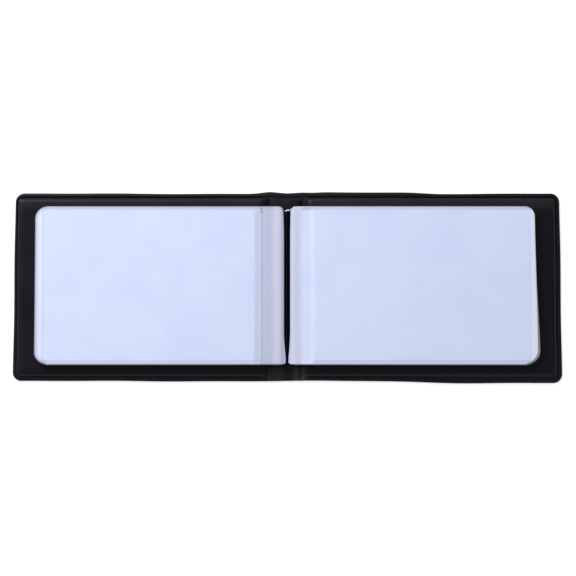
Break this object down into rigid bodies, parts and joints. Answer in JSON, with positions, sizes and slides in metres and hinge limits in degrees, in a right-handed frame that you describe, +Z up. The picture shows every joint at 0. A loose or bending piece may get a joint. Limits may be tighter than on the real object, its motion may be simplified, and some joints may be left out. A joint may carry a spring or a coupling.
{
  "type": "business card book",
  "caption": "Pocket book for business cards, open flat, with a padded black cover, a creased spine and clear leaves sewn down the gutter.",
  "frame": {"origin": "on the table under the middle of the spine of the open book", "axes": "+X across the open book to the right cover, +Y up the page, +Z up from the table"},
  "size_m": [0.233, 0.08, 0.0076],
  "materials": {
    "leatherette": "soft satin black heat-sealed leatherette",
    "foam": "matt foam sheet, out of sight inside the cover",
    "greyboard": "matt pressed board, out of sight inside the cover",
    "clear_film": "soft clear film with a cool blue cast",
    "card_stock": "plain matt white card",
    "thread": "black sewing thread"
  },
  "bodies": {
    "spine": {"spine_outer_skin": "leatherette", "spine_lining": "leatherette", "spine_board": "greyboard", "lower_thread": "thread", "binding_strip": "leatherette", "center_fold": "clear_film", "seam_thread": "thread", "left_margin_roll": "clear_film", "right_margin_roll": "clear_film"},
    "left_cover": {"left_outer_skin": "leatherette", "left_foam": "foam", "left_board": "greyboard", "left_lining": "leatherette"},
    "right_cover": {"right_outer_skin": "leatherette", "right_foam": "foam", "right_board": "greyboard", "right_lining": "leatherette"},
    "left_leaf_1": {"left_back_film_1": "clear_film", "left_front_film_1": "clear_film", "left_card_1": "card_stock"},
    "left_leaf_2": {"left_back_film_2": "clear_film", "left_front_film_2": "clear_film", "left_card_2": "card_stock"},
    "left_leaf_3": {"left_back_film_3": "clear_film", "left_front_film_3": "clear_film", "left_card_3": "card_stock"},
    "left_leaf_4": {"left_back_film_4": "clear_film", "left_front_film_4": "clear_film", "left_card_4": "card_stock"},
    "left_leaf_5": {"left_back_film_5": "clear_film", "left_front_film_5": "clear_film", "left_card_5": "card_stock"},
    "left_leaf_6": {"left_back_film_6": "clear_film", "left_front_film_6": "clear_film", "left_card_6": "card_stock"},
    "right_leaf_1": {"right_back_film_1": "clear_film", "right_front_film_1": "clear_film", "right_card_1": "card_stock"},
    "right_leaf_2": {"right_back_film_2": "clear_film", "right_front_film_2": "clear_film", "right_card_2": "card_stock"},
    "right_leaf_3": {"right_back_film_3": "clear_film", "right_front_film_3": "clear_film", "right_card_3": "card_stock"},
    "right_leaf_4": {"right_back_film_4": "clear_film", "right_front_film_4": "clear_film", "right_card_4": "card_stock"},
    "right_leaf_5": {"right_back_film_5": "clear_film", "right_front_film_5": "clear_film", "right_card_5": "card_stock"},
    "right_leaf_6": {"right_back_film_6": "clear_film", "right_front_film_6": "clear_film", "right_card_6": "card_stock"}
  },
  "joints": [
    {"name": "left_cover_fold", "type": "hinge", "parent": "spine", "child": "left_cover", "pos_m": [-0.007, 0, 0.0009], "axis": [0, -1, 0], "range_deg": [-90, 0]},
    {"name": "right_cover_fold", "type": "hinge", "parent": "spine", "child": "right_cover", "pos_m": [0.007, 0, 0.0009], "axis": [0, 1, 0], "range_deg": [-90, 0]},
    {"name": "left_stack_fold", "type": "hinge", "parent": "spine", "child": "left_leaf_6", "pos_m": [-0.0025, 0, 0.0054], "axis": [0, -1, 0], "range_deg": [-90, 0]},
    {"name": "right_stack_fold", "type": "hinge", "parent": "spine", "child": "right_leaf_6", "pos_m": [0.0025, 0, 0.0054], "axis": [0, 1, 0], "range_deg": [-90, 0]},
    {"name": "left_leaf_5_turn", "type": "hinge", "parent": "left_leaf_6", "child": "left_leaf_5", "pos_m": [0, 0, 0.00762], "axis": [0, 1, 0], "range_deg": [0, 180]},
    {"name": "left_leaf_4_turn", "type": "hinge", "parent": "left_leaf_5", "child": "left_leaf_4", "pos_m": [0, 0, 0.00762], "axis": [0, 1, 0], "range_deg": [0, 180]},
    {"name": "left_leaf_3_turn", "type": "hinge", "parent": "left_leaf_4", "child": "left_leaf_3", "pos_m": [0, 0, 0.00762], "axis": [0, 1, 0], "range_deg": [0, 180]},
    {"name": "left_leaf_2_turn", "type": "hinge", "parent": "left_leaf_3", "child": "left_leaf_2", "pos_m": [0, 0, 0.00762], "axis": [0, 1, 0], "range_deg": [0, 180]},
    {"name": "left_leaf_1_turn", "type": "hinge", "parent": "left_leaf_2", "child": "left_leaf_1", "pos_m": [0, 0, 0.00762], "axis": [0, 1, 0], "range_deg": [0, 180]},
    {"name": "right_leaf_5_turn", "type": "hinge", "parent": "right_leaf_6", "child": "right_leaf_5", "pos_m": [0, 0, 0.00762], "axis": [0, -1, 0], "range_deg": [0, 180]},
    {"name": "right_leaf_4_turn", "type": "hinge", "parent": "right_leaf_5", "child": "right_leaf_4", "pos_m": [0, 0, 0.00762], "axis": [0, -1, 0], "range_deg": [0, 180]},
    {"name": "right_leaf_3_turn", "type": "hinge", "parent": "right_leaf_4", "child": "right_leaf_3", "pos_m": [0, 0, 0.00762], "axis": [0, -1, 0], "range_deg": [0, 180]},
    {"name": "right_leaf_2_turn", "type": "hinge", "parent": "right_leaf_3", "child": "right_leaf_2", "pos_m": [0, 0, 0.00762], "axis": [0, -1, 0], "range_deg": [0, 180]},
    {"name": "right_leaf_1_turn", "type": "hinge", "parent": "right_leaf_2", "child": "right_leaf_1", "pos_m": [0, 0, 0.00762], "axis": [0, -1, 0], "range_deg": [0, 180]}
  ],
  "couplings": [
    {"joint": "left_stack_fold", "follows": "left_cover_fold", "ratio": 1},
    {"joint": "right_stack_fold", "follows": "right_cover_fold", "ratio": 1}
  ]
}
